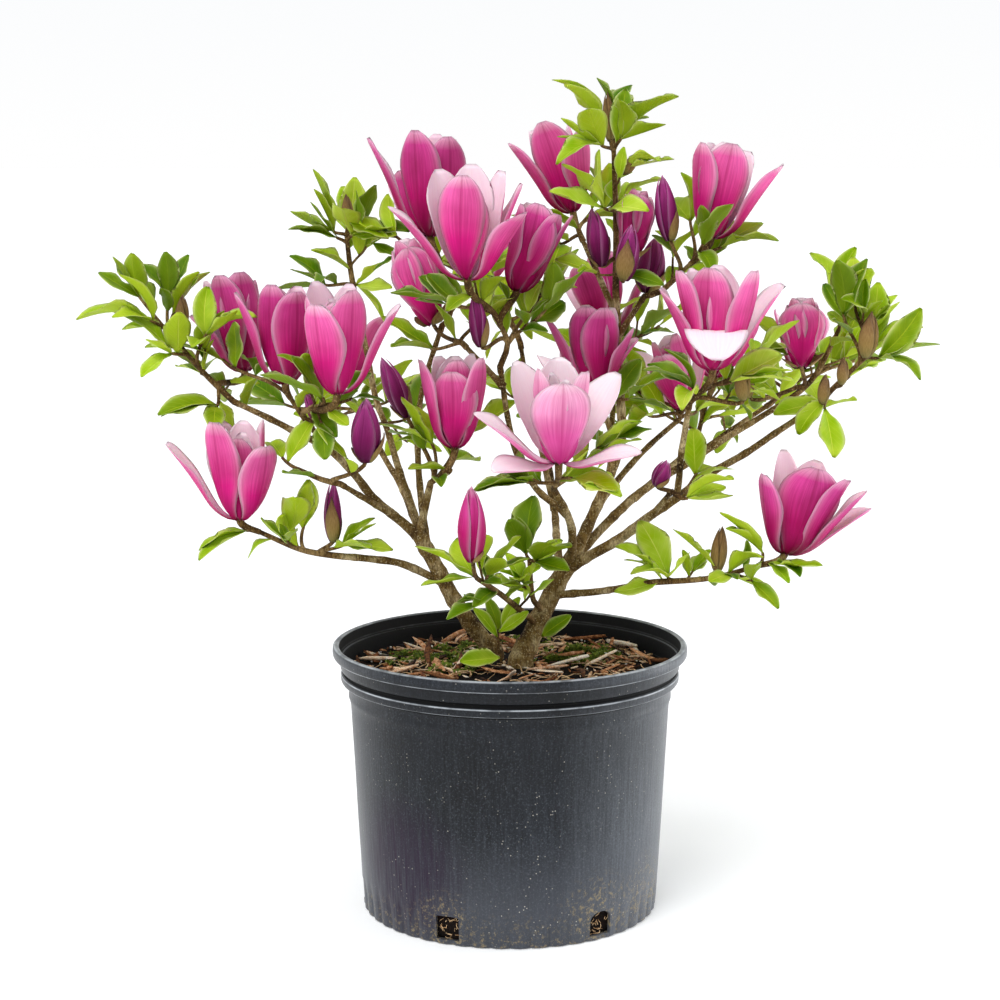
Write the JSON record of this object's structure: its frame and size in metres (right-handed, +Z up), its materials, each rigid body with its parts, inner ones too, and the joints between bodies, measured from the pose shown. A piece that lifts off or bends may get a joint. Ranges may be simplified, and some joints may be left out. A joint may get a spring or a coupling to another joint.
{
  "type": "potted jane magnolia",
  "caption": "Young flowering magnolia shrub: two leaning trunks, spreading boughs, goblet blooms and leaves, in a round nursery pot full of potting mix.",
  "frame": {"origin": "centre of the pot's flat underside, at floor level", "axes": "+Z up along the pot's axis, -Y towards the side that the picture shows, +X to its right"},
  "size_m": [0.6594, 0.4311, 0.6626],
  "materials": {
    "pot": "black blow-moulded plastic, finely brushed, dusty",
    "potting_mix": "damp bark, chips, perlite and moss",
    "trunk_bark": "smooth grey-brown bark with lenticels",
    "bough_bark": "grey-brown young bark with leaf-scar rings",
    "foliage": "soft leaves and petals on thin twigs"
  },
  "bodies": {
    "root": {"bough_back_center": "bough_bark", "bough_back_far": "bough_bark", "bough_back_high": "bough_bark", "bough_back_left": "bough_bark", "bough_back_right": "bough_bark", "bough_center_back": "bough_bark", "bough_center_front": "bough_bark", "bough_center_long": "bough_bark", "bough_center_side": "bough_bark", "bough_inner_rise": "bough_bark", "bough_leader": "bough_bark", "bough_leader_back": "bough_bark", "bough_left_blooms": "bough_bark", "bough_left_high": "bough_bark", "bough_left_inner": "bough_bark", "bough_left_long": "bough_bark", "bough_left_low": "bough_bark", "bough_left_second": "bough_bark", "bough_right_inner": "bough_bark", "bough_right_low": "bough_bark", "bough_right_lowest": "bough_bark", "bough_right_mid": "bough_bark", "bough_right_spur": "bough_bark", "bough_right_upper": "bough_bark", "bough_top_left": "bough_bark", "bough_top_right": "bough_bark", "foliage_back_center": "foliage", "foliage_back_far": "foliage", "foliage_back_high": "foliage", "foliage_back_left": "foliage", "foliage_back_right": "foliage", "foliage_center_back": "foliage", "foliage_center_front": "foliage", "foliage_center_high": "foliage", "foliage_center_left": "foliage", "foliage_center_low": "foliage", "foliage_center_side": "foliage", "foliage_inner_rise": "foliage", "foliage_leader_back": "foliage", "foliage_leader_top": "foliage", "foliage_left_blooms": "foliage", "foliage_left_high": "foliage", "foliage_left_inner": "foliage", "foliage_left_low": "foliage", "foliage_left_second": "foliage", "foliage_left_tip": "foliage", "foliage_right_inner": "foliage", "foliage_right_low": "foliage", "foliage_right_mid": "foliage", "foliage_right_spur": "foliage", "foliage_right_tip": "foliage", "foliage_right_upper": "foliage", "foliage_top_left": "foliage", "foliage_top_right": "foliage", "pot": "pot", "potting_mix": "potting_mix", "trunk_left": "trunk_bark", "trunk_right": "trunk_bark"}
  },
  "joints": []
}
